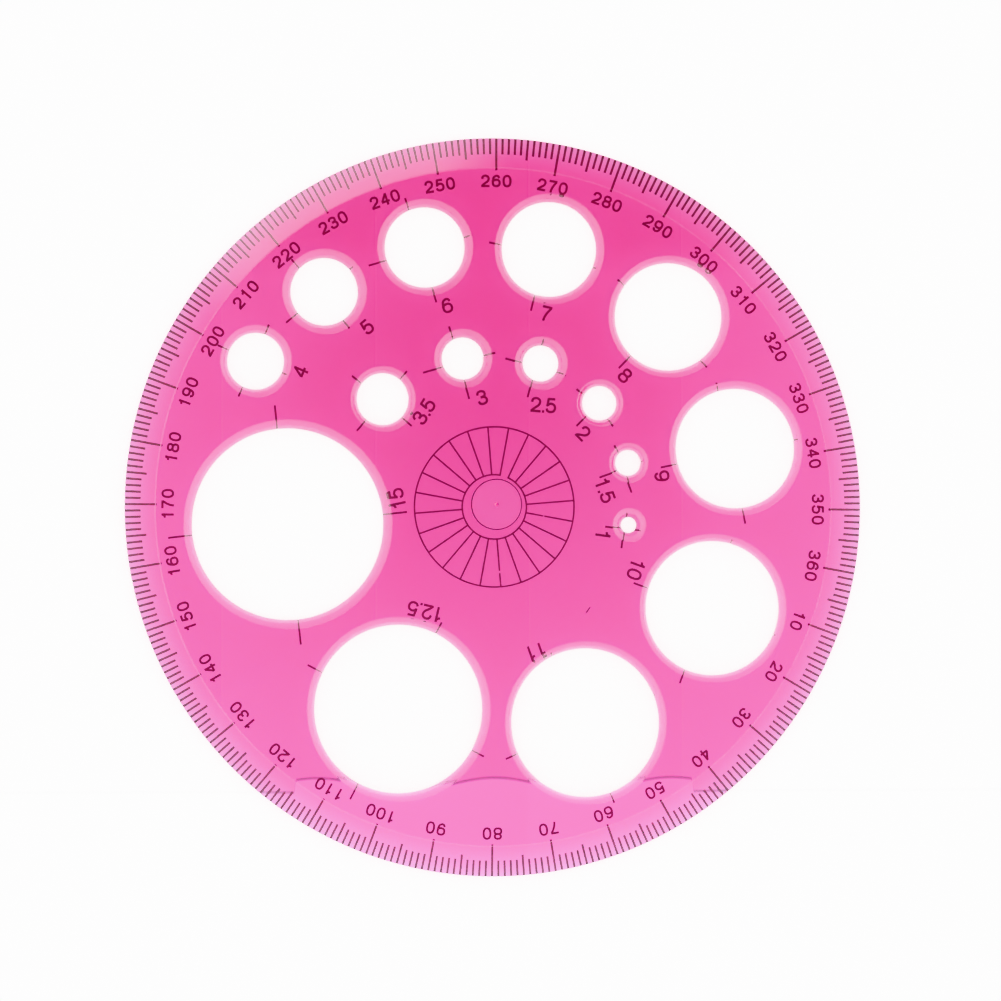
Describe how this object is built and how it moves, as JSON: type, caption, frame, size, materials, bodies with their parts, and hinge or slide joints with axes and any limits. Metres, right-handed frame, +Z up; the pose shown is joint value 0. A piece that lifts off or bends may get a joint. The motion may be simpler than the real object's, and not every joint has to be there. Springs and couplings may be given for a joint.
{
  "type": "circle template",
  "caption": "Flat round drafting template of clear pink plastic: a full-circle protractor scale on a bevelled rim, graded drawing holes and a centre rosette.",
  "frame": {"origin": "middle of the flat underside, the face that lies on the paper", "axes": "+Z up out of the bevelled top face; +X towards the dial's zero (360) mark; degrees run clockwise seen from above, so 90 lies along -Y"},
  "size_m": [0.11, 0.11, 0.0018],
  "materials": {
    "clear_pink_plastic": "polished moulded transparent polystyrene, tinted pink-magenta",
    "stamped_ink": "dark hot-stamped ink, seen dark red through the plastic"
  },
  "bodies": {
    "root": {"template_plate": "clear_pink_plastic", "rosette_ink": "stamped_ink", "degree_mark_010": "stamped_ink", "degree_mark_020": "stamped_ink", "degree_mark_030": "stamped_ink", "degree_mark_040": "stamped_ink", "degree_mark_050": "stamped_ink", "degree_mark_060": "stamped_ink", "degree_mark_070": "stamped_ink", "degree_mark_080": "stamped_ink", "degree_mark_090": "stamped_ink", "degree_mark_100": "stamped_ink", "degree_mark_110": "stamped_ink", "degree_mark_120": "stamped_ink", "degree_mark_130": "stamped_ink", "degree_mark_140": "stamped_ink", "degree_mark_150": "stamped_ink", "degree_mark_160": "stamped_ink", "degree_mark_170": "stamped_ink", "degree_mark_180": "stamped_ink", "degree_mark_190": "stamped_ink", "degree_mark_200": "stamped_ink", "degree_mark_210": "stamped_ink", "degree_mark_220": "stamped_ink", "degree_mark_230": "stamped_ink", "degree_mark_240": "stamped_ink", "degree_mark_250": "stamped_ink", "degree_mark_260": "stamped_ink", "degree_mark_270": "stamped_ink", "degree_mark_280": "stamped_ink", "degree_mark_290": "stamped_ink", "degree_mark_300": "stamped_ink", "degree_mark_310": "stamped_ink", "degree_mark_320": "stamped_ink", "degree_mark_330": "stamped_ink", "degree_mark_340": "stamped_ink", "degree_mark_350": "stamped_ink", "degree_mark_360": "stamped_ink"}
  },
  "joints": []
}
